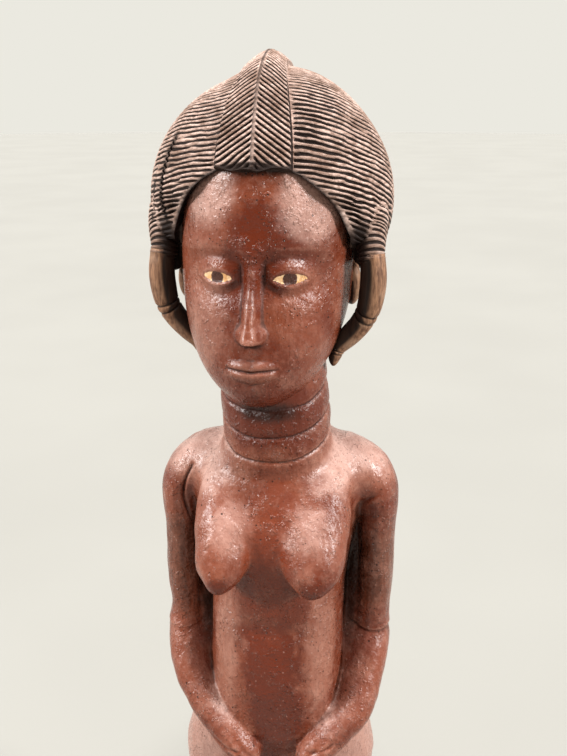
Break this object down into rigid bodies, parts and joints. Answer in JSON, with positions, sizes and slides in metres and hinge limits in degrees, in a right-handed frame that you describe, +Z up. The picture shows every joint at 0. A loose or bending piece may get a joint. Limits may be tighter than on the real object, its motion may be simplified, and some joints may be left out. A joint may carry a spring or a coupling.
{
  "type": "african colon figure",
  "caption": "Carved and painted wooden figure of a standing woman on a low round base, with combed hair, a crest and hanging plaits.",
  "frame": {"origin": "centre of the round base's underside", "axes": "+Z up, the figure faces -Y, its left hand is towards +X"},
  "size_m": [0.14, 0.14, 0.545],
  "materials": {
    "painted_wood": "matt red-brown paint, worn to dry grey-brown wood on the hair"
  },
  "bodies": {
    "root": {"carved_figure": "painted_wood"}
  },
  "joints": []
}
